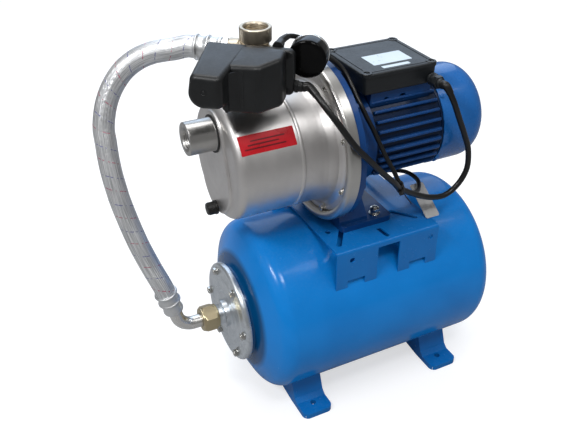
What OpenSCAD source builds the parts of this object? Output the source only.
// Booster pump set: a jet pump and its motor on a horizontal pressure tank.
// Millimetres. The origin is the centre of the foot bolt pattern on the floor.
// +X points to the fan end of the motor, +Z up, and the switch is on the -Y side.

/* [Tank] */
// Outer diameter of the pressure tank
tank_d = 270; // [260:1:280]
// Length of the straight wall between the two heads
tank_straight = 319; // [310:1:330]
// Wall thickness of the tank
tank_wall = 1.6; // [1.2:0.1:2.5]
// Gap between the tank and the floor
tank_clear = 18.4; // [14:0.1:26]
// Diameter of the opening in the pump end head
neck_d = 96; // [88:1:100]
// Diameter of the galvanised flange
flange_d = 154; // [150:1:158]
// Thickness of the flange plate
flange_t = 3; // [2:0.5:4]
// Bolt circle of the flange
flange_pcd = 130; // [128:1:132]
// Number of flange bolts
flange_bolts = 6; // [6:1:8]
// Thickness of the rubber membrane
membrane_t = 2; // [1.5:0.5:2.5]

/* [Feet] */
// Distance between the holes along the tank
foot_pitch_x = 240; // [220:1:250]
// Distance between the holes across the tank
foot_pitch_y = 207.6; // [204:0.1:212]
// Width of a foot along the tank
foot_w = 50; // [44:1:56]
// Length over both pads of a foot
foot_len = 250; // [246:1:256]
// Height of a pad above the floor
pad_h = 9; // [7:0.5:11]
// Diameter of the foot holes
foot_hole_d = 9; // [8:0.5:10]
// Sheet thickness of feet and platform
sheet_t = 2.8; // [2:0.1:3.5]

/* [Platform] */
// Height of the platform top over the top of the tank
platform_gap = 4.3; // [3.6:0.1:7.6]
// Platform edge at the pump end
platform_x0 = -92; // [-100:1:-88]
// Platform edge at the fan end
platform_x1 = 80.5; // [76:0.5:90]
// Width of the platform
platform_w = 225.2; // [222:0.1:230]
// Width of the adjusting slots
slot_w = 7.5; // [6:0.5:9]

/* [Pump] */
// Height of the shaft axis over the platform
axis_h = 123.8; // [121.3:0.5:127.3]
// Diameter of the stainless casing
casing_d = 166; // [160:1:172]
// Wall of the stainless casing
casing_wall = 1.5; // [1:0.1:2]
// Front face of the casing
casing_front = -221; // [-228:1:-216]
// Plane where casing and bracket are bolted together
joint_x = -72; // [-74:1:-70]
// Outer diameter of the clamping ring
ring_d = 234; // [230:1:238]
// Bolt circle of the clamping ring
ring_pcd = 199; // [196:1:202]
// Number of cap screws in the ring
ring_bolts = 8; // [6:1:8]
// Inside radius of a one inch pipe thread
g1_r = 15.15; // [15:0.05:15.3]
// Outer diameter of the suction socket
suction_od = 45; // [43:1:48]
// Height of the suction port over the shaft axis
suction_h = 42; // [38.5:0.5:45.5]
// Face of the suction socket
suction_x = -262; // [-268:1:-256]
// Position of the discharge port along the casing
outlet_x = -158.7; // [-164:0.1:-154]
// Diameter of the impeller
impeller_d = 126; // [118:1:130]
// Number of impeller vanes
vanes = 6; // [5:1:7]
// Diameter of the motor shaft
shaft_d = 16; // [14:1:17]
// Depth of the lower plug under the shaft axis
drain_h = 71.5; // [68.5:0.5:73.5]

/* [Motor] */
// Outer radius of the motor frame without fins
frame_r = 70; // [69.5:0.5:71]
// Radius over the cooling fins
fin_r = 77; // [75:0.5:78]
// Thickness of a fin
fin_t = 3; // [2:0.2:4]
// Number of fins on each side
fins = 10; // [8:1:11]
// Fan end of the motor frame
frame_x1 = 98; // [96:1:102]
// Outer radius of the fan cover
cover_r = 72.5; // [71:0.5:74]
// Length of the fan cover
cover_len = 84; // [80:1:90]
// Number of fan blades
blades = 7; // [5:1:9]
// Length of the terminal box along the motor
box_len = 116; // [110:1:120]
// Width of the terminal box
box_w = 109; // [104:1:114]
// Height of the terminal box without its lid
box_h = 24; // [22:0.5:27]
// Height of the terminal box's underside over the shaft axis
box_rise = 77; // [76:0.5:79.5]

/* [Fittings] */
// Height of the top of the brass fitting over the shaft axis
outlet_h = 176.9; // [173.5:0.2:180.5]
// Height of its side ports over the shaft axis
port_h = 143.5; // [141.5:0.5:145.5]
// Angle of the side ports about the vertical
turn = -38.2; // [-40:0.1:-36]
// Diameter of the pressure gauge
gauge_d = 50; // [48:1:52]
// Diameter of the braided hose
hose_d = 29; // [28:0.5:30]
// Diameter of the hose elbow tube
elbow_d = 20; // [19:0.5:21]
// Diameter of the motor lead
motor_lead_d = 8.5; // [8:0.1:9]
// Diameter of the mains lead
mains_lead_d = 6.5; // [6:0.1:7]

/* [Clearances] */
// Running clearance of turning pieces on a radius
run_gap = 0.05; // [0.02:0.01:0.08]
// Gap between curved faces that rest on each other
seat_gap = 0.2; // [0.1:0.05:0.3]
// Clearance round screws and loosely fitted pieces
loose = 0.4; // [0.3:0.05:0.6]

/* [Hidden] */
$fn = 64;
eps = 0.01;

// Tank: torispherical heads with a crown as wide as the tank and a knuckle of a tenth
tank_r = tank_d / 2;
tank_z = tank_clear + tank_r;
knuckle = 0.1 * tank_d;
head_a = asin((tank_r - knuckle) / (tank_d - knuckle));
head_h = tank_d - (tank_d - knuckle) * cos(head_a);
tank_end = tank_straight / 2 + head_h;
collar_w = 25;
collar_x = -(tank_end + 0.8);
flange_back = collar_x - membrane_t;
flange_x = flange_back - flange_t;
flange_rim = 6;
hub_len = 8.5;
flange_bolt_d = 6;
flange_turn = 28;
g1_male_r = 16.6;
stub_len = 35;
water_r = 12;

// Pump and motor, all on the shaft axis; lift carries what is typed for the usual height of the axis
platform_z = tank_clear + tank_d + platform_gap;
axis_z = platform_z + axis_h;
usual_axis_z = 416.5;
lift = axis_z - usual_axis_z;
suction_z = axis_z + suction_h;
drain_z = axis_z - drain_h;
casing_r = casing_d / 2;
front_round = 12;
seam_x = -130;
flare_x = joint_x - 28;
casing_flange_r = ring_pcd / 2 + 4;
plate_r = ring_pcd / 2 - 4.5;
plate_t = 8;
bracket_x = joint_x + plate_t;
disc_t = 10;
disc_r = 115;
frame_x0 = -12;
shaft_r = shaft_d / 2;
ring_screw_d = 6;
bearing_w = 12;
drive_bearing_r = 20;
fan_bearing_r = 17.5;
shield_t = 5;
shield_x1 = frame_x1 + shield_t;
fan_x0 = shield_x1 + 8;
cover_x1 = frame_x1 + 2 + cover_len;
socket_r = 21;
socket_z0 = axis_z + casing_r - 6;
socket_z1 = axis_z + casing_r + 11;
drain_r = 8.5;
plug_thread_r = 6.5;
priming_x = -192;

// Terminal box
box_z = axis_z + box_rise;
box_x0 = -27;
box_wall = 2.6;
lid_h = 5.5;
post_r = 6;
box_gland_x = 82;
box_gland_z = box_z + 6.5;
gland_r = 9;
box_gland_len = 24;

// Side ports of the fitting, in its own turned frame: the gauge at +X, the hose at -X, the switch at -Y
outlet_z = axis_z + outlet_h;
port_z = axis_z + port_h;
brass_r = 20.7;
brass_neck_r = 17.5;
side_r = 11;
gauge_w = 68;
gauge_r = gauge_d / 2;
gauge_half = 14;
ferrule_face = 80;
switch_back = 25;
switch_seam = 38;
switch_x0 = -46;
switch_x1 = 47;
switch_z0 = port_z - 42;
switch_z1 = port_z + 20;
piston_r = 4;
piston_travel = 2;
lever_arm = 20;
lever_y = -50;
pivot_z = port_z - lever_arm;
gland_z = port_z - 29;
mains_gland_x = 34;
mains_gland_z = port_z + 17;

// Elbow of the hose at the tank
nut_x = flange_x - 17.5;
nut_len = 25;
nut_af = 37;
elbow_r = elbow_d / 2;
elbow_bend = 26;
elbow_turn = 75;
elbow_x = -271;
elbow_rise = 16;
ferrule_len = 38;
ferrule_r = hose_d / 2 + 1.8;
elbow_dir = [-cos(elbow_turn), 0, sin(elbow_turn)];
elbow_end = [elbow_x - elbow_bend * sin(elbow_turn), 0, tank_z + elbow_bend * (1 - cos(elbow_turn))];
hose_low = elbow_end + (elbow_rise + ferrule_len) * elbow_dir;
hose_high = turned_point([-ferrule_face, 0, port_z]);

// Routes of the cords, chosen by hand, from one end fitting to the other. What hangs between them
// rises with the shaft axis, and less so towards the floor.
function lifted(route) = [for (p = route) p + [0, 0, lift * min(1, p.z / usual_axis_z)]];
HOSE = concat([hose_high, hose_high + turned_dir([-12, 0, 0])], lifted([
  [-245, 65, 556], [-259, 71, 554], [-273, 77, 551],
  [-291, 82, 544], [-310, 85, 531], [-326, 86, 512], [-337, 84, 493], [-344, 80, 475],
  [-348, 76, 458], [-349, 70, 442], [-350, 64, 424], [-350, 56, 402], [-348, 47, 376],
  [-346, 41, 360], [-340, 31, 328], [-333, 22, 298], [-323, 12, 265]
]), [hose_low + 14 * elbow_dir, hose_low]);
tie_dir = unit([0.54, 0.11, -0.84]);
tie_across = unit(cross(cross(tie_dir, [0.42, 0.83, 0.37]), tie_dir));
tie_a = [9, -106, 369 + lift];
tie_b = tie_a + ((motor_lead_d + mains_lead_d) / 2 + 0.8) * tie_across;
motor_gland_end = turned_point([68, -32, gland_z]);
box_gland_end = [box_gland_x, -box_w / 2 - box_gland_len, box_gland_z];
MOTOR_LEAD = concat([motor_gland_end, motor_gland_end + turned_dir([9, 0, -1])], lifted([
  [-110, -97, 513], [-98, -113, 492], [-80, -122.5, 464], [-59, -123.5, 440], [-34, -119, 413],
  [-8, -113, 387]]), [tie_a], lifted([
  [45, -97, 345], [75, -92, 330], [104, -88, 324], [126, -88, 337], [137, -90, 362], [133, -92, 394],
  [121, -94, 421], [106, -95, 451], [93, -95, 478]]), [box_gland_end + [2, -9, -1], box_gland_end]);
mains_gland_end = turned_point([mains_gland_x, -8, mains_gland_z]);
back_y = tank_r + 11;
coil_at = [21, tank_r + 87, 0];
coil_r = 36;
coil_h = 2 * mains_lead_d;
MAINS_LEAD = concat([mains_gland_end, mains_gland_end + turned_dir([0, 10, 0])], lifted([
  [-116, -10.6, 577], [-99, -8.5, 571], [-83, -11, 560], [-67, -15, 546], [-49, -24, 531],
  [-42, -35, 517], [-40, -47, 505], [-38.5, -57, 494], [-36, -66, 484], [-32, -74, 471],
  [-27, -81, 458], [-20, -87, 440], [-10, -91, 418], [3, -95, 393]]), [tie_b], lifted([
  [29, -91, 352], [52, -81, 338], [72, -65, 331], [84, -44, 333], [84, -14, 331],
  [74, 14, 322], [62, 42, 308], [57, 75, 300], [58, 105, 299], [59, back_y - 22, 288],
  [60, back_y - 10, 262], [60, back_y - 3, 225], [60, back_y, 180], [60, back_y, 130],
  [60, back_y + 2, 90], [60, back_y + 9, 48]]),
  [[60, back_y + 24, 17], [60, back_y + 44, 4.6], coil_at + [coil_r + 3, -16, 3.6],
  coil_at + [coil_r + 3, 0, 3.6]]);
plug_r = 18.5;
plug_at = coil_at + [-coil_r - 30, coil_r + 5, plug_r + 0.3];

// Smooth curves and swept tubes
function unit(v) = v / norm(v);
function turned_dir(v) = [v.x * cos(turn) - v.y * sin(turn), v.x * sin(turn) + v.y * cos(turn), v.z];
function turned_point(v) = turned_dir(v) + [outlet_x, 0, 0];
function at(p, i) = i < 0 ? 2 * p[0] - p[1] : i > len(p) - 1 ? 2 * p[len(p) - 1] - p[len(p) - 2] : p[i];
function spline(p, k) = concat(
  [for (i = [0 : len(p) - 2], j = [0 : k - 1])
    let (t = j / k, a = at(p, i - 1), b = p[i], c = p[i + 1], d = at(p, i + 2))
    0.5 * (2 * b + t * (c - a) + t * t * (2 * a - 5 * b + 4 * c - d) + t * t * t * (3 * b - a - 3 * c + d))],
  [p[len(p) - 1]]);
function tangent(p, i) = unit(at(p, i + 1) - at(p, i - 1));
function carried(n, t) = unit(n - (n * t) * t);
function normals(p, t, n, i = 0) = i == len(p) ? [] :
  let (m = carried(n, t[i])) concat([m], normals(p, t, m, i + 1));

module tube(route, d, sides, k, first, last) {
  p = spline(route, k);
  n = len(p);
  t = [for (i = [0 : n - 1]) i == 0 ? unit(first) : i == n - 1 ? unit(last) : tangent(p, i)];
  m = normals(p, t, [0.3, 0.2, 1]);
  rings = [for (i = [0 : n - 1], j = [0 : sides - 1])
    let (b = cross(t[i], m[i])) p[i] + d / 2 * (cos(360 * j / sides) * m[i] + sin(360 * j / sides) * b)];
  walls = [for (i = [0 : n - 2], j = [0 : sides - 1])
    let (a = i * sides + j, b = i * sides + (j + 1) % sides) [a, a + sides, b + sides, b]];
  polyhedron(rings, concat([[for (j = [0 : sides - 1]) j]], walls,
    [[for (j = [sides - 1 : -1 : 0]) (n - 1) * sides + j]]), convexity = 6);
}

// Placing helpers: local +Z laid along +X at a given height, or along any direction
module on_x(x = 0, z = 0, y = 0) translate([x, y, z]) rotate([0, 90, 0]) children();
module turned() translate([outlet_x, 0, 0]) rotate([0, 0, turn]) children();
module toward(at, dir)
  translate(at) rotate([0, acos(dir.z / norm(dir)), atan2(dir.y, dir.x)]) children();
module ring(r, hole_r, h, z = 0) translate([0, 0, z]) difference() {
  cylinder(r = r, h = h);
  translate([0, 0, -1]) cylinder(r = hole_r, h = h + 2);
}
module hex(af, h, z = 0) translate([0, 0, z]) cylinder(d = af / cos(30), h = h, $fn = 6);
module on_circle(count, pcd, start = 0)
  for (i = [0 : count - 1]) rotate([0, 0, start + 360 * i / count]) translate([pcd / 2, 0, 0]) children();
module rounded_bar(x, y, z, r) for (s = [0, 1]) {
  translate([s == 0 ? r : 0, s == 0 ? 0 : r, 0]) cube([s == 0 ? x - 2 * r : x, s == 0 ? y : y - 2 * r, z]);
  if (s == 0) for (a = [r, x - r], b = [r, y - r]) translate([a, b, 0]) cylinder(r = r, h = z);
}

// Profile of a tank head as [radius, distance beyond the straight wall]
function head_profile(w) = concat(
  [for (i = [0 : 6]) let (t = head_a * i / 6) [(tank_d - w) * sin(t), head_h - tank_d + (tank_d - w) * cos(t)]],
  [for (i = [1 : 7]) let (t = head_a + (90 - head_a) * i / 7)
    [tank_r - knuckle + (knuckle - w) * sin(t), (knuckle - w) * cos(t)]]);
function tank_profile(w) = let (h = head_profile(w), n = len(h) - 1) concat(
  [for (i = [0 : n]) [h[i].x, -tank_straight / 2 - h[i].y]],
  [for (i = [0 : n]) [h[n - i].x, tank_straight / 2 + h[n - i].y]]);

module tank_shell() color("dodgerblue") on_x(0, tank_z) difference() {
  union() {
    rotate_extrude() polygon(tank_profile(0));
    ring(neck_d / 2 + collar_w, neck_d / 2, 14, collar_x);
    translate([0, 0, tank_end - 4]) cylinder(r = 9, h = 5);
  }
  rotate_extrude() polygon(tank_profile(tank_wall));
  translate([0, 0, collar_x - 1]) cylinder(r = neck_d / 2, h = 40);
  translate([0, 0, tank_end - 20]) cylinder(r = 4 + eps, h = 30);
  translate([0, 0, collar_x - 1])
    on_circle(flange_bolts, flange_pcd, flange_turn) cylinder(d = flange_bolt_d + loose, h = 9);
}

membrane_r = 0.34 * tank_d;
membrane_x1 = 0.4 * tank_straight;
function bladder(w) = concat(
  [[neck_d / 2 - 4 - w, collar_x - membrane_t], [neck_d / 2 - 4 - w, collar_x + 30]],
  [for (i = [0 : 5]) let (t = 15 * i) [membrane_r - w - (membrane_r - neck_d / 2 + 4) * (1 - sin(t)),
    collar_x + 30 + 50 * (1 - cos(t))]],
  [for (i = [0 : 6]) let (t = 15 * i) [(membrane_r - w) * cos(t), membrane_x1 + (50 - w) * sin(t)]],
  [[0, collar_x - membrane_t]]);

module tank_membrane() color("dimgray") on_x(0, tank_z) difference() {
  union() {
    rotate_extrude() polygon(bladder(0));
    ring(neck_d / 2 + collar_w - 2, neck_d / 2 - 5, membrane_t, collar_x - membrane_t);
  }
  rotate_extrude() polygon(bladder(membrane_t));
  translate([0, 0, collar_x - membrane_t - 1]) cylinder(r = neck_d / 2 - 4 - membrane_t, h = 10);
  translate([0, 0, collar_x - membrane_t - 1])
    on_circle(flange_bolts, flange_pcd, flange_turn) cylinder(d = flange_bolt_d + loose, h = 10);
}

module tank_flange() color("silver") on_x(0, tank_z) difference() {
  union() {
    rotate_extrude() polygon(concat(
      [[0, flange_x]],
      [for (i = [0 : 5]) [flange_d / 2 - 4 + 4 * sin(18 * i), flange_x + 4 - 4 * cos(18 * i)]],
      [[flange_d / 2, flange_back + flange_rim], [flange_d / 2 - flange_t, flange_back + flange_rim],
       [flange_d / 2 - flange_t, flange_back], [0, flange_back]]));
    translate([0, 0, flange_x - hub_len]) cylinder(r = g1_male_r + 4.5, h = hub_len + eps);
    translate([0, 0, flange_x - stub_len]) cylinder(r = g1_male_r, h = stub_len);
  }
  translate([0, 0, flange_x - stub_len - 1]) cylinder(r = water_r, h = stub_len + 20);
  translate([0, 0, flange_x - 1])
    on_circle(flange_bolts, flange_pcd, flange_turn) cylinder(d = flange_bolt_d + loose, h = 10);
}

module tank_flange_bolts() color("gainsboro") on_x(0, tank_z)
  on_circle(flange_bolts, flange_pcd, flange_turn) {
    translate([0, 0, flange_x]) cylinder(d = flange_bolt_d, h = flange_t + membrane_t + 7);
    translate([0, 0, flange_x - 1.2]) cylinder(r = 6, h = 1.2);
    hex(10, 4.2, flange_x - 5.4 + eps);
  }

// A foot is a pressed channel: a saddle under the tank, two legs and two pads with turned-down edges
leg_y = foot_len / 2 - 28;
saddle_y = 76;
function foot_outline(t) = [
  [0, tank_clear + 30], [saddle_y, tank_clear + 30], [leg_y - 8, pad_h + 6 - t], [leg_y, pad_h - t],
  [foot_len / 2 - t, pad_h - t], [foot_len / 2 - t, -1 - 2 * t], [leg_y - 10 + t, -1 - 2 * t], [0, tank_clear - 10 - 2 * t]];

module pressed_foot(x) difference() {
  intersection() {
    translate([x - foot_w / 2, -foot_len / 2, 0]) rounded_bar(foot_w, foot_len, 80, 10);
    for (s = [-1, 1]) translate([x - foot_w / 2, 0, 0])
      rotate([90, 0, 90]) linear_extrude(foot_w) scale([s, 1]) polygon(foot_outline(0));
  }
  on_x(x - foot_w, tank_z) cylinder(r = tank_r + seat_gap, h = 2 * foot_w);
  difference() {
    for (s = [-1, 1]) translate([x - foot_w / 2 + sheet_t, 0, 0])
      rotate([90, 0, 90]) linear_extrude(foot_w - 2 * sheet_t) scale([s, 1]) polygon(foot_outline(sheet_t));
    on_x(x - foot_w, tank_z) cylinder(r = tank_r + seat_gap + sheet_t, h = 2 * foot_w);
  }
}
// The sheet is drawn down round each hole to a collar that stands on the floor and takes the bolt's force
module foot(x) color("dodgerblue") difference() {
  union() {
    pressed_foot(x);
    for (s = [-1, 1]) translate([x, s * foot_pitch_y / 2, 0])
      cylinder(d = foot_hole_d + 2 * sheet_t, h = pad_h - sheet_t / 2);
  }
  for (s = [-1, 1]) translate([x, s * foot_pitch_y / 2, -1]) cylinder(d = foot_hole_d, h = pad_h + 2);
}
module pump_end_foot() foot(-foot_pitch_x / 2);
module fan_end_foot() foot(foot_pitch_x / 2);

module slot(a, b) {
  d = b - a;
  translate([a.x, a.y, platform_z - sheet_t - 1]) cylinder(d = slot_w, h = sheet_t + 2);
  translate([b.x, b.y, platform_z - sheet_t - 1]) cylinder(d = slot_w, h = sheet_t + 2);
  translate([a.x, a.y, platform_z - sheet_t - 1]) rotate([0, 0, atan2(d.y, d.x)])
    translate([0, -slot_w / 2 + 0.02, 0]) cube([norm(d), slot_w - 0.04, sheet_t + 2]);
}
notch_x0 = -24;
notch_x1 = 13;
bolt_x = 3;
bolt_y = 55;
// The platform is a pressed channel; the lower edges of its sides rest on the tank
platform_half = platform_w / 2;
bend_r = 4;
function rest_z(y) = tank_z + sqrt(pow(tank_r + seat_gap, 2) - y * y);
small_notch = 11.8;
side_hole_z = platform_z - 17.7;
function channel_side(half, top, r) = concat([[half, rest_z(half)]],
  [for (i = [0 : 4]) [half - r + r * cos(22.5 * i), top - r + r * sin(22.5 * i)]]);
function backwards(p) = [for (i = [len(p) - 1 : -1 : 0]) p[i]];
function mirrored(p) = [for (q = backwards(p)) [-q.x, q.y]];
module pump_platform() color("dodgerblue") difference() {
  translate([platform_x0, 0, 0]) rotate([90, 0, 90]) linear_extrude(platform_x1 - platform_x0)
    let (outside = channel_side(platform_half, platform_z, bend_r),
      inside = channel_side(platform_half - sheet_t, platform_z - sheet_t, bend_r - sheet_t))
      polygon(concat(outside, mirrored(outside), backwards(mirrored(inside)), backwards(inside)));
  translate([notch_x0, -platform_w, tank_z - 1])
    cube([notch_x1 - notch_x0, 2 * platform_w, platform_z - tank_z - 8]);
  for (x = [-73, 33]) translate([x, -platform_w, tank_z - 1])
    cube([29, 2 * platform_w, rest_z(platform_half) + small_notch - tank_z + 1]);
  for (x = [-66.8, 66.8]) translate([x, platform_w, side_hole_z])
    rotate([90, 0, 0]) cylinder(r = 4.2, h = 2 * platform_w);
  for (s = [-1, 1]) {
    slot([-46.5, s * 47], [-78.5, s * 93]);
    slot([-5.5, s * 82], [-3.5, s * 101]);
    slot([36, s * 51], [60, s * 79.5]);
    translate([-76.5, s * 57, platform_z - 10]) cylinder(r = 4.2, h = 20);
    translate([bolt_x, s * bolt_y, platform_z - 10]) cylinder(r = 4.4, h = 20);
  }
}

module air_valve() color("silver") on_x(tank_end - 6, tank_z) {
  cylinder(r = 4, h = 16);
  ring(7, 4, 4, 7 + seat_gap);
}
module air_valve_cap() color("black") on_x(tank_end + 5.4 + 0.3, tank_z) difference() {
  cylinder(r = 6.5, h = 8);
  translate([0, 0, -1]) cylinder(r = 4.3, h = 6.3);
}

// Stainless casing: a flanged pot with a raised boss round the suction port
function casing_profile(w) = concat(
  [[0, casing_front + w]],
  [for (i = [0 : 5]) [casing_r - front_round + (front_round - w) * sin(18 * i),
    casing_front + front_round - (front_round - w) * cos(18 * i)]],
  w > 0 ? [] : [[casing_r, seam_x - 2.5], [casing_r + 1.8, seam_x - 1], [casing_r + 1.8, seam_x + 1],
    [casing_r, seam_x + 2.5]],
  [[casing_r - w, flare_x], [casing_r + 1 - w, flare_x + 9], [casing_r + 3.5 - w, flare_x + 17],
   [casing_r + 8 - w, flare_x + 23.5]],
  w > 0 ? [[casing_r + 5, joint_x - 3.5]] : [[casing_r + 12, joint_x - 2]]);
module port_boss(g) hull() {
  translate([-suction_z + axis_z, 0, 0]) cylinder(r = 31 - g, h = 5, $fn = 32);
  translate([26, 0, 0]) cylinder(r = 50 - g, h = 5, $fn = 32);
}
module pump_casing() color("lightgray") on_x(0, axis_z) difference() {
  union() {
    rotate_extrude() polygon(concat(casing_profile(0),
      [[casing_flange_r, joint_x - 2], [casing_flange_r, joint_x], [0, joint_x]]));
    translate([0, 0, casing_front - 3]) port_boss(0);
  }
  rotate_extrude() polygon(concat(casing_profile(casing_wall), [[casing_r + 5, joint_x + 1], [0, joint_x + 1]]));
  translate([axis_z - suction_z, 0, casing_front - 5]) cylinder(d = suction_od + 0.2, h = 12);
  translate([axis_z - drain_z, 0, casing_front - 5]) cylinder(r = plug_thread_r + loose, h = 12);
  translate([0, 0, outlet_x]) rotate([0, -90, 0]) cylinder(r = socket_r + 0.1, h = 200);
  translate([0, 0, priming_x]) rotate([0, -90, 0]) cylinder(r = plug_thread_r + loose, h = 200);
  translate([0, 0, joint_x - 5])
    on_circle(ring_bolts, ring_pcd, ring_start) cylinder(d = ring_screw_d + loose, h = 10);
}
ring_start = 22.5;

module port_sockets() color("lightgray") {
  on_x(suction_x, suction_z) difference() {
    cylinder(d = suction_od, h = casing_front + 6 - suction_x);
    translate([0, 0, -1]) cylinder(r = g1_r, h = 23);
    cylinder(r = water_r, h = 80);
  }
  translate([outlet_x, 0, socket_z0]) ring(socket_r, g1_male_r + 0.1, socket_z1 - socket_z0);
}

module drain_plug() color("black") on_x(casing_front - 3, drain_z) {
  cylinder(r = plug_thread_r, h = 9);
  translate([0, 0, -4]) cylinder(r = drain_r + 1.5, h = 4);
  translate([0, 0, -15]) cylinder(r = drain_r, h = 11 + eps);
}
module priming_plug() color("black") translate([priming_x, 0, axis_z + casing_r + seat_gap]) {
  translate([0, 0, -8]) cylinder(r = plug_thread_r, h = 8 + eps);
  cylinder(r = drain_r + 1.5, h = 4);
  translate([0, 0, 4 - eps]) cylinder(r = drain_r, h = 9);
}

// Pressed ring with a rolled rim that pulls the casing flange against the bracket
module clamp_ring() color("lightgray") on_x(0, axis_z) difference() {
  rotate_extrude() polygon(concat(
    [[plate_r + loose, joint_x], [casing_flange_r + 0.5, joint_x], [casing_flange_r + 0.5, joint_x - 6]],
    [for (i = [0 : 8]) [(casing_flange_r + ring_d / 2) / 2 + 0.25 + (ring_d / 2 - casing_flange_r - 0.5) / 2 * -cos(22.5 * i),
      joint_x - 6 - 4 * sin(22.5 * i)]],
    [[ring_d / 2, bracket_x], [plate_r + loose, bracket_x]]));
  translate([0, 0, joint_x - 12])
    on_circle(ring_bolts, ring_pcd, ring_start) cylinder(d = ring_screw_d + loose, h = 40);
}
module ring_screws() color("gainsboro") on_x(0, axis_z) on_circle(ring_bolts, ring_pcd, ring_start)
  difference() {
    union() {
      translate([0, 0, joint_x - 2]) cylinder(d = ring_screw_d, h = plate_t + disc_t + 2);
      translate([0, 0, joint_x - 8.5]) cylinder(r = 4.3, h = 6.5);
    }
    hex(5, 4, joint_x - 9);
  }

seal_ring_r = plate_r - 3.5;
module seal_plate() color("lightgray") on_x(0, axis_z) difference() {
  union() {
    ring(plate_r, 76, plate_t, joint_x);
    ring(80, 15.2, 3, joint_x);
  }
  ring(seal_ring_r + 1.8, seal_ring_r - 1.8, 2.8, joint_x - eps);
}
module seal_seat() color("white") on_x(0, axis_z) {
  ring(15.2 - 0.1, shaft_r + 1, 5, joint_x);
  ring(18, shaft_r + 1, 2.2, joint_x - 2.2);
}
module seal_rotor() color("dimgray") on_x(0, axis_z) ring(15, shaft_r, 5.5, joint_x - 2.2 - run_gap - 5.5);
module casing_seal() color("black") on_x(0, axis_z)
  translate([0, 0, joint_x + 1.4]) rotate_extrude() translate([seal_ring_r, 0]) circle(d = 2.6, $fn = 24);

// Jet: suction chamber, nozzle and venturi that ends in the impeller eye
eye_r = 22;
diffuser_x = joint_x - 32;
ejector_x = casing_front + 8;
module ejector() color("darkorange") {
  on_x(0, axis_z) rotate_extrude() polygon([
    [8, ejector_x + 12], [8, diffuser_x - 50], [14, diffuser_x - 3], [14, diffuser_x + 2.5], [eye_r - 0.4, diffuser_x + 2.5],
    [eye_r - 0.4, diffuser_x - 6], [16, diffuser_x - 14], [12, diffuser_x - 50], [12, ejector_x + 26],
    [26, ejector_x + 18], [26, ejector_x], [0, ejector_x], [0, ejector_x + 3], [22, ejector_x + 3],
    [22, ejector_x + 12]]);
  translate([ejector_x + 12, 0, axis_z + 24]) ring(12, 9, suction_z - axis_z - 14);
  on_x(casing_front + 6, suction_z) difference() {
    cylinder(r = 16, h = 6);
    translate([0, 0, -1]) cylinder(r = water_r, h = 9);
  }
}
module diffuser() color("darkorange") on_x(0, axis_z) {
  ring(76, eye_r, 3, diffuser_x);
  ring(76, 73.5, joint_x - diffuser_x - 3, diffuser_x + 3 - eps);
  on_circle(vanes + 2, 2 * (impeller_d / 2 + 7)) translate([-4, -1, diffuser_x + 3 - eps])
    rotate([0, 0, 55]) cube([9, 2, 14]);
}

impeller_x = diffuser_x + 4;
impeller_w = 14;
module impeller() color("goldenrod") on_x(0, axis_z) difference() {
  union() {
    ring(impeller_d / 2, eye_r - 5, 1.8, impeller_x);
    ring(impeller_d / 2, shaft_r, 2.2, impeller_x + impeller_w - 2.2);
    ring(14, shaft_r, joint_x - 2.2 - run_gap - 5.5 - impeller_x, impeller_x);
    on_circle(vanes, 2 * 24) for (k = [0 : 2])
      translate([13 * k, 4.5 * k * k, impeller_x + 1.7]) rotate([0, 0, 10 + 24 * k]) cube([15.5, 2, impeller_w - 3.5]);
  }
  translate([0, 0, impeller_x - 1]) cylinder(r = shaft_r, h = 40);
}

// Cast bracket: disc, ribbed barrel with the drive bearing, pedestal and foot
foot_x0 = -60;
foot_x1 = 25;
foot_t = 9;
ledge_z = platform_z + 32;
module motor_bracket() color("midnightblue") difference() {
  union() {
    on_x(0, axis_z) {
      translate([0, 0, bracket_x]) cylinder(r = disc_r, h = disc_t);
      rotate_extrude() polygon([[30, bracket_x + 2], [84, bracket_x + 2], [80, bracket_x + disc_t + 8],
        [frame_r + 3, frame_x0 - 16], [frame_r + 3, frame_x0], [30, frame_x0]]);
      for (a = [0 : 30 : 330]) rotate([0, 0, a + 15]) translate([0, -2.5, 0])
        rotate([90, 0, 0]) mirror([0, 0, 1]) linear_extrude(5)
          polygon([[60, bracket_x + 2], [disc_r - 3, bracket_x + 2], [disc_r - 3, bracket_x + disc_t + 4],
            [frame_r + 3, frame_x0 - 18], [60, frame_x0 - 18]]);
    }
    translate([foot_x0, -70, platform_z]) rounded_bar(foot_x1 - foot_x0, 140, foot_t, 8);
    translate([foot_x0, 0, platform_z]) rotate([90, 0, 90]) linear_extrude(46)
      polygon([[-62, 0], [-62, 14], [-46, ledge_z - platform_z], [-34, 60], [34, 60], [46, ledge_z - platform_z],
        [62, 14], [62, 0]]);
  }
  difference() {
    on_x(bracket_x - 1, axis_z) cylinder(r = 64, h = frame_x0 - bearing_w - 4 - bracket_x);
    on_x(frame_x0 - 26, axis_z) cylinder(r = drive_bearing_r + 5, h = 30);
  }
  on_x(frame_x0 - bearing_w, axis_z) cylinder(r = drive_bearing_r, h = 20);
  on_x(bracket_x, axis_z) cylinder(r = shaft_r + 1.5, h = 60);
  on_x(0, axis_z) translate([0, 0, bracket_x - 1])
    on_circle(ring_bolts, ring_pcd, ring_start) cylinder(d = ring_screw_d + loose, h = disc_t + 20);
  on_x(0, axis_z) rods() cylinder(d = 4 + loose, h = 20);
  for (s = [-1, 1]) translate([bolt_x, s * bolt_y, platform_z - 1]) cylinder(r = 4.4, h = foot_t + 2);
}
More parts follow.
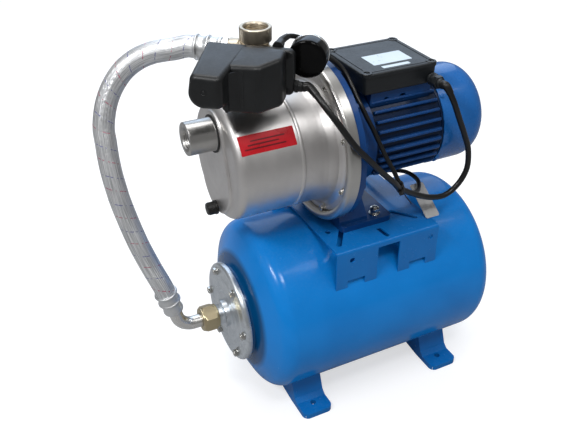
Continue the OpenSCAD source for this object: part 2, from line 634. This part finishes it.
module bracket_bolts() color("gainsboro") for (s = [-1, 1]) translate([bolt_x, s * bolt_y, platform_z]) {
  translate([0, 0, -sheet_t - 4]) cylinder(r = 4, h = sheet_t + 4 + foot_t + 12);
  translate([0, 0, foot_t]) cylinder(r = 8.5, h = 1.6);
  translate([0, 0, foot_t + 1.6 - eps]) cylinder(r = 6.5, h = 2);
  hex(13, 6.5, foot_t + 3.6 - 2 * eps);
  hex(13, 5.5, -sheet_t - 5.5);
}

// Motor frame with long fins on both sides and a flat seat for the terminal box
fin_top = 34;
fin_step = 98 / (fins - 1);
rod_r = frame_r - 3.5;
module rods() for (s = [-1, 1], k = [0.5, 7.5])
  rotate([0, 0, 90 * s]) rotate([0, 0, s * -(fin_top - fin_step * k)]) translate([rod_r, 0, frame_x0 - 16])
    children();
seat_half = 46;
module motor_frame() color("navy") on_x(0, axis_z) difference() {
  union() {
    translate([0, 0, frame_x0]) cylinder(r = frame_r, h = frame_x1 - frame_x0);
    for (s = [-1, 1], k = [0 : fins - 1]) rotate([0, 0, 90 * s]) rotate([0, 0, -s * (fin_top - fin_step * k)])
      translate([frame_r - 1, -fin_t / 2, frame_x0 + 3]) cube([fin_r - frame_r + 1, fin_t, frame_x1 - frame_x0 - 5]);
    translate([axis_z - box_z, -seat_half, box_x0 + 16])
      cube([box_z - axis_z - 40, 2 * seat_half, frame_x1 - box_x0 - 26]);
  }
  translate([0, 0, frame_x0 - 1]) cylinder(r = stator_r + seat_gap, h = frame_x1 - frame_x0 + 2);
  rods() cylinder(d = 4 + loose, h = 200);
  for (s = [-1, 1], y = [14, 34]) translate([-68, s * 60, frame_x0 + y + 32]) rotate([-90 * s, 0, 0])
    translate([0, 0, -14]) cylinder(r = 4, h = 20);
}
stator_r = 62;
bore_r = 31;
core_x0 = 10;
core_x1 = 68;
module stator_core() color("slategray") on_x(0, axis_z) difference() {
  translate([0, 0, core_x0]) cylinder(r = stator_r, h = core_x1 - core_x0);
  translate([0, 0, core_x0 - 1]) cylinder(r = bore_r, h = 100);
  on_circle(16, 2 * (bore_r + 10)) translate([-7, -2.5, core_x0 - 1]) cube([14, 5, 100]);
}
module stator_windings() color("peru") on_x(0, axis_z) for (x = [core_x0 - 15, core_x1])
  translate([0, 0, x]) rotate_extrude() polygon([[36, 0], [52, 0], [56, 4], [56, 11], [52, 15], [36, 15],
    [33, 11], [33, 4]]);
module rotor_core() color("gray") on_x(0, axis_z) {
  ring(bore_r - 0.4, shaft_r, core_x1 - core_x0, core_x0);
  for (x = [core_x0 - 6, core_x1]) ring(bore_r - 4, bore_r - 11, 6, x);
}
shaft_x0 = impeller_x - 4;
shaft_x1 = fan_x0 + 18;
module motor_shaft() color("silver") on_x(0, axis_z) {
  translate([0, 0, shaft_x0]) cylinder(r = shaft_r, h = shaft_x1 - shaft_x0);
}
module bearing(x, r) on_x(x, axis_z) {
  ring(r - 0.05, r - 3.5, bearing_w);
  ring(shaft_r + 3.5, shaft_r + run_gap, bearing_w);
  ring(r - 3.4, shaft_r + 3.4, 1.2, 0.6);
  ring(r - 3.4, shaft_r + 3.4, 1.2, bearing_w - 1.8);
}
module drive_bearing() color("silver") bearing(frame_x0 - bearing_w, drive_bearing_r);
module fan_bearing() color("silver") bearing(frame_x1 - 10, fan_bearing_r);

cover_wall_t = 1.5;
module rear_shield() color("navy") on_x(0, axis_z) difference() {
  union() {
    translate([0, 0, frame_x1]) cylinder(r = cover_r - cover_wall_t - 0.3, h = shield_t);
    translate([0, 0, frame_x1 - 12]) cylinder(r = fan_bearing_r + 5, h = 13);
    ring(stator_r, stator_r - 5, 5, frame_x1 - 5);
  }
  translate([0, 0, frame_x1 - 13]) cylinder(r = fan_bearing_r, h = bearing_w + 3);
  translate([0, 0, frame_x1 - 5]) cylinder(r = shaft_r + 1.2, h = 20);
  rods() cylinder(d = 4 + loose, h = 300);
}
module tie_rods() color("gainsboro") on_x(0, axis_z) rods() {
  cylinder(d = 4, h = shield_x1 - frame_x0 + 16);
  translate([0, 0, shield_x1 - frame_x0 + 16]) hex(7, 3.2);
}
fan_r = 56;
module cooling_fan() color("black") on_x(0, axis_z) difference() {
  union() {
    translate([0, 0, fan_x0]) cylinder(r = 13, h = 16);
    ring(fan_r, 12, 2, fan_x0);
    on_circle(blades, 20) translate([0, -1, fan_x0 + 1.9]) cube([fan_r - 11, 2, 16]);
  }
  translate([0, 0, fan_x0 - 1]) cylinder(r = shaft_r, h = 30);
}

// Fan cover: a smooth cowl with a strongly rounded end and an inlet grille
cover_round = 31;
function cowl(w) = concat([[0, frame_x1 + 2], [cover_r - w, frame_x1 + 2]],
  [for (i = [0 : 7]) let (t = 90 * i / 7)
    [cover_r - cover_round + (cover_round - w) * cos(t), cover_x1 - cover_round + (cover_round - w) * sin(t)]],
  [[0, cover_x1 - w]]);
module fan_cover() color("royalblue") on_x(0, axis_z) difference() {
  rotate_extrude() polygon(cowl(0));
  translate([0, 0, -eps]) rotate_extrude() polygon(cowl(cover_wall_t));
  translate([0, 0, frame_x1]) cylinder(r = cover_r - cover_wall_t, h = 10);
  for (k = [-3 : 3]) let (half = sqrt(38 * 38 - 100 * k * k))
    translate([10 * k - 2.5, -half, cover_x1 - 5]) cube([5, 2 * half, 10]);
}

// Terminal box on the motor
module box_posts(r, h, z) for (x = [box_x0 + post_r + 1, box_x0 + box_len - post_r - 1], s = [-1, 1])
  translate([x, s * (box_w / 2 - post_r - 1), z]) cylinder(r = r, h = h);
module terminal_box() color([0.13, 0.13, 0.14]) difference() {
  union() {
    difference() {
      translate([box_x0, -box_w / 2, box_z]) rounded_bar(box_len, box_w, box_h, 5);
      translate([box_x0 + box_wall, -box_w / 2 + box_wall, box_z + box_wall])
        cube([box_len - 2 * box_wall, box_w - 2 * box_wall, box_h]);
    }
    box_posts(post_r, box_h - 1, box_z + 1);
  }
  box_posts(2, box_h, box_z + 6);
  translate([box_gland_x, 0, box_gland_z + 4]) rotate([90, 0, 0]) cylinder(r = 6 + eps, h = box_w);
  translate([box_gland_x - 20, 0, box_z - 1]) cylinder(r = 8, h = 10);
}
module terminal_box_lid() color([0.2, 0.2, 0.21]) difference() {
  translate([box_x0, -box_w / 2, box_z + box_h]) rounded_bar(box_len, box_w, lid_h, 5);
  translate([box_x0 + 2.5, -box_w / 2 + 2.5, box_z + box_h - 1]) difference() {
    cube([box_len - 5, box_w - 5, lid_h - 1.5]);
    for (a = [0, 1], b = [0, 1]) translate([a * (box_len - 17), b * (box_w - 17), -1]) cube([12, 12, 10]);
  }
  translate([box_x0, -box_w / 2, box_z + box_h + lid_h - 1]) difference() {
    translate([6, 6, 0]) cube([box_len - 12, box_w - 12, 2]);
    translate([8, 8, -1]) cube([box_len - 16, box_w - 16, 4]);
  }
  box_posts(2.2, lid_h + 2, box_z + box_h - 1);
  box_posts(4, 3, box_z + box_h + lid_h - 2);
}
cap_r = 11;
module run_capacitor() color("whitesmoke")
  on_x(box_x0 + 22, box_z + box_wall + cap_r + seat_gap, 22) cylinder(r = cap_r, h = 62);
module terminal_board() color("beige") translate([box_x0 + 30, -34, box_z + box_wall]) difference() {
  cube([46, 22, 10]);
  for (i = [0 : 4]) translate([5 + 9 * i, 11, 4]) cylinder(r = 2.4, h = 10);
}
module box_gland() color("black") translate([box_gland_x, -box_w / 2, box_gland_z]) rotate([90, 0, 0]) {
  difference() {
    union() {
      cylinder(r = gland_r, h = 7);
      translate([0, 0, 7 - eps]) cylinder(r = gland_r - 1, h = 4);
      hex(16, 8, 11 - 2 * eps);
      translate([0, 0, 19 - 3 * eps]) cylinder(r = 6.5, h = box_gland_len - 19);
    }
    translate([0, 0, -1]) cylinder(d = motor_lead_d, h = 6);
  }
}

// Brass five-way fitting: a vertical body with a large top port and three side ports
fitting_z0 = socket_z1;
module five_way_fitting() color("darkkhaki") difference() {
  union() {
    translate([outlet_x, 0, 0]) {
      translate([0, 0, socket_z0 + 2]) cylinder(r = g1_male_r, h = fitting_z0 - socket_z0 + 4);
      hex(38, 9, fitting_z0 + 0.2);
      translate([0, 0, fitting_z0 + 9]) cylinder(r = brass_neck_r, h = outlet_z - fitting_z0 - 20);
      translate([0, 0, outlet_z - 18]) cylinder(r = brass_r, h = 18);
    }
    turned() translate([0, 0, port_z]) {
      on_x(-34) cylinder(r = side_r + 4, h = 30);
      on_x(0) cylinder(r = side_r - 2, h = 24);
      rotate([90, 0, 0]) cylinder(r = side_r - 1, h = 23);
    }
  }
  translate([outlet_x, 0, outlet_z - 17]) cylinder(r = g1_r, h = 20);
  translate([outlet_x, 0, socket_z0]) cylinder(r = water_r, h = 200);
  turned() translate([0, 0, port_z]) {
    on_x(-60) cylinder(r = side_r, h = 60);
    on_x(0) cylinder(r = 4.5, h = 60);
    rotate([90, 0, 0]) cylinder(r = 4.5, h = 60);
  }
}

// Gauge on the side port: its dial looks away from the switch
module gauge_place() turned() translate([gauge_w, 0, port_z - 1]) rotate([-90, 0, 0]) children();
module gauge_case() color("black") {
  gauge_place() difference() {
    rotate_extrude() polygon([[0, -gauge_half], [gauge_r - 3, -gauge_half], [gauge_r - 0.9, -gauge_half + 0.9],
      [gauge_r, -gauge_half + 3], [gauge_r, gauge_half], [0, gauge_half]]);
    translate([0, 0, 3]) cylinder(r = gauge_r - 2, h = 20);
    translate([0, 0, -6]) cylinder(r = 2 + run_gap, h = 20);
  }
  turned() on_x(24.2, port_z) {
    cylinder(r = 6.5, h = gauge_w - 24.2 - gauge_r + 1.5);
    hex(14, 8, 6);
  }
}
module gauge_dial() color("white") gauge_place() ring(gauge_r - 2.3, 3, 1, 5);
module gauge_glass() color([0.85, 0.92, 0.95, 0.4]) gauge_place() ring(gauge_r - 2.2, 0, 1.5, 11);
module gauge_needle() color("black") gauge_place() {
  translate([0, 0, -4]) cylinder(r = 2, h = 11.5);
  translate([0, 0, 7.5 - eps]) cylinder(r = 3, h = 1.2);
  rotate([0, 0, 45]) translate([-6, -0.7, 7.6]) cube([22, 1.4, 0.8]);
}

// Pressure switch, laid on its side so that its port meets the fitting
module switch_base() color([0.1, 0.1, 0.11]) turned() difference() {
  union() {
    translate([switch_x0 + 1, -switch_seam, switch_z1 - 2]) rotate([-90, 0, 0])
      rounded_bar(switch_x1 + 9 - switch_x0, switch_z1 - 2 - switch_z0, switch_seam - switch_back, 8);
    translate([0, -switch_back - 1, port_z]) rotate([-90, 0, 0]) hex(16, 3);
    for (x = [-22, 20]) translate([x - 2, lever_y - 4, pivot_z - 4]) cube([4, 5 - lever_y - switch_seam, 8]);
  }
  translate([0, 0, port_z]) rotate([90, 0, 0]) cylinder(r = piston_r + run_gap, h = 60);
  for (x = [-30, 10]) translate([x, lever_y, pivot_z]) rotate([0, 90, 0]) cylinder(r = 1.5 + run_gap, h = 20);
}
// Corners of the two lobes as [across, front face, height, radius]; the left one reaches further forward
LEFT_LOBE = [[-45, -133, 537, 14], [-7, -133, 537, 6], [-44, -133, 577, 6], [-7, -133, 576, 6],
  [-48, -30, 524, 14], [0, -30, 524, 6], [-47, -30, 582, 6], [0, -30, 582, 6]];
RIGHT_LOBE = [[-12, -98, 518.5, 6], [33, -98, 518.5, 6], [-12, -98, 575, 6], [33, -98, 575, 6],
  [49, -62, 519.5, 6], [49, -62, 576, 6], [49, -30, 519, 6], [49, -30, 580, 6], [-12, -30, 519, 6],
  [-12, -30, 580, 6]];
module lobe(corners, middle) hull() for (p = corners)
  translate([p[0] + (p[0] < middle ? p[3] : -p[3]), p[1] + p[3], p[2] + (p[2] < 545 ? p[3] : -p[3])])
    sphere(r = p[3], $fn = 16);
// Corners of the four hollows under the cover
CAVITIES = [[[-40, -126, 546], [-9, -37, 571]], [[-26, -60, 532], [26, -37, 570]],
  [[-10, -92, 526], [23, -37, 569]], [[20, -61, 528], [41, -37, 569.5]]];
module switch_cover() color([0.12, 0.12, 0.13]) turned() translate([0, 0, lift]) difference() {
  union() {
    lobe(LEFT_LOBE, -20);
    lobe(RIGHT_LOBE, 10);
  }
  for (c = CAVITIES) translate(c[0]) cube(c[1] - c[0]);
  translate([-80, -switch_seam, 480]) cube([160, 60, 140]);
}
module switch_piston() color("gainsboro") turned() translate([0, 0, port_z]) rotate([90, 0, 0]) {
  translate([0, 0, switch_back + 1]) cylinder(r = piston_r, h = -lever_y - 6 - switch_back);
  translate([0, 0, -lever_y - 5 - eps]) cylinder(r = 1.5, h = 3.5);
}
module switch_lever() color("silver") turned() {
  translate([-17, lever_y - 1, pivot_z - 3]) cube([34, 2, lever_arm + 9]);
  translate([-24, lever_y, pivot_z]) rotate([0, 90, 0]) cylinder(r = 1.5, h = 46);
}
module switch_glands() color("black") turned() {
  on_x(switch_x1 + 10, gland_z, -32) {
    hex(15, 4);
    translate([0, 0, 4 - eps]) cylinder(r = 6.5, h = 7 + eps);
  }
  translate([mains_gland_x, -switch_back, mains_gland_z]) rotate([-90, 0, 0]) {
    cylinder(r = 7, h = 6);
    translate([0, 0, 6 - eps]) cylinder(r = 5.5, h = switch_back - 8 - 6 + eps);
  }
}

// Hose: two crimped ends, the elbow and its union nut on the tank flange
module hose_top_ferrule() color("silver") turned() translate([0, 0, port_z]) on_x(-ferrule_face) difference() {
  union() {
    cylinder(r = ferrule_r, h = 18);
    translate([0, 0, 17]) cylinder(r = ferrule_r - 2.5, h = 20);
    hex(27, 9.5, 36);
  }
  translate([0, 0, 3]) cylinder(r = 8, h = 60);
}
module braided_hose() color("silver")
  tube(HOSE, hose_d, 12, 2, turned_dir([-1, 0, 0]), -elbow_dir);
module hose_elbow() color("silver") {
  on_x(elbow_x - 1, tank_z) {
    cylinder(r = elbow_r - 0.15, h = nut_x - nut_len - elbow_x + 6);
    translate([0, 0, nut_x - nut_len - elbow_x + 4.2]) cylinder(r = g1_male_r - 1.2, h = 3);
  }
  translate([elbow_x, 0, tank_z + elbow_bend]) rotate([90, 0, 0]) rotate([0, 0, 270 - elbow_turn])
    rotate_extrude(angle = elbow_turn) translate([elbow_bend, 0]) circle(r = elbow_r);
  toward(elbow_end, elbow_dir) {
    translate([0, 0, -1]) cylinder(r = elbow_r - 0.15, h = elbow_rise + 3);
    translate([0, 0, elbow_rise]) cylinder(r = ferrule_r, h = 7);
    translate([0, 0, elbow_rise + 6.9]) cylinder(r = ferrule_r - 1.4, h = 9.2);
    translate([0, 0, elbow_rise + 16]) cylinder(r = ferrule_r, h = ferrule_len - 16);
  }
}
module hose_union_nut() color("goldenrod") on_x(nut_x - nut_len, tank_z) difference() {
  union() {
    hex(nut_af, nut_len - 5, 2);
    cylinder(r = nut_af / 2 - 0.5, h = nut_len);
  }
  translate([0, 0, 3]) cylinder(r = g1_male_r + run_gap, h = nut_len);
  translate([0, 0, -1]) cylinder(r = elbow_r + loose, h = nut_len);
}

// Leads with what is on them
module motor_lead() color("black")
  tube(MOTOR_LEAD, motor_lead_d, 8, 2, turned_dir([1, 0, 0]), [0, 1, 0]);
module mains_lead() color("black")
  tube(MAINS_LEAD, mains_lead_d, 8, 2, turned_dir([0, 1, 0]), [0, 1, 0]);
module mains_lead_coil() color("black") translate(coil_at) translate([0, 0, 0.3])
  ring(coil_r + mains_lead_d, coil_r - mains_lead_d, coil_h);
module mains_plug() color("black") translate(plug_at) rotate([0, 90, 0]) {
  cylinder(r = plug_r, h = 10);
  translate([0, 0, 10 - eps]) cylinder(r = 14, h = 22);
  translate([0, 0, 32 - 2 * eps]) cylinder(r = plug_at.z - coil_h - 0.8, h = 18);
  for (s = [-1, 1]) translate([0, s * 9.5, -19]) cylinder(r = 2.4, h = 19 + eps);
}
module tie_loop(g) hull() {
  cylinder(r = motor_lead_d / 2 + g, h = 8, center = true);
  translate([norm(tie_b - tie_a), 0, 0]) cylinder(r = mains_lead_d / 2 + g, h = 8, center = true);
}
module cable_tie() color("black")
  multmatrix([for (i = [0 : 2]) [tie_across[i], cross(tie_dir, tie_across)[i], tie_dir[i], tie_a[i]]]) {
    intersection() {
      difference() {
        tie_loop(1.6);
        scale([1, 1, 2]) tie_loop(loose);
      }
      cube([80, 80, 4], center = true);
    }
    translate([-motor_lead_d / 2 - 6, -2.5, -2.5]) cube([5.5, 6, 5]);
    rotate([0, 0, 155]) translate([motor_lead_d / 2 + 1, 0, -1.8]) cube([26, 1.2, 3.6]);
  }
tag_w = 24;
tag_len = 59;
tag_t = 0.8;
tag_tilt = 32.2;
module lead_tag() color("gainsboro") translate([84, -67, 309 + lift]) rotate([tag_tilt, 0, 0])
  translate([-tag_w / 2, -tag_len / 2, -tag_t / 2]) cube([tag_w, tag_len, tag_t]);

tank_shell();
tank_membrane();
tank_flange();
tank_flange_bolts();
pump_end_foot();
fan_end_foot();
pump_platform();
air_valve();
air_valve_cap();
pump_casing();
port_sockets();
drain_plug();
priming_plug();
clamp_ring();
ring_screws();
seal_plate();
seal_seat();
seal_rotor();
casing_seal();
ejector();
diffuser();
impeller();
motor_bracket();
bracket_bolts();
motor_frame();
stator_core();
stator_windings();
rotor_core();
motor_shaft();
drive_bearing();
fan_bearing();
rear_shield();
tie_rods();
cooling_fan();
fan_cover();
terminal_box();
terminal_box_lid();
run_capacitor();
terminal_board();
box_gland();
five_way_fitting();
gauge_case();
gauge_dial();
gauge_glass();
gauge_needle();
switch_base();
switch_cover();
switch_piston();
switch_lever();
switch_glands();
hose_top_ferrule();
braided_hose();
hose_elbow();
hose_union_nut();
motor_lead();
mains_lead();
mains_lead_coil();
mains_plug();
cable_tie();
lead_tag();
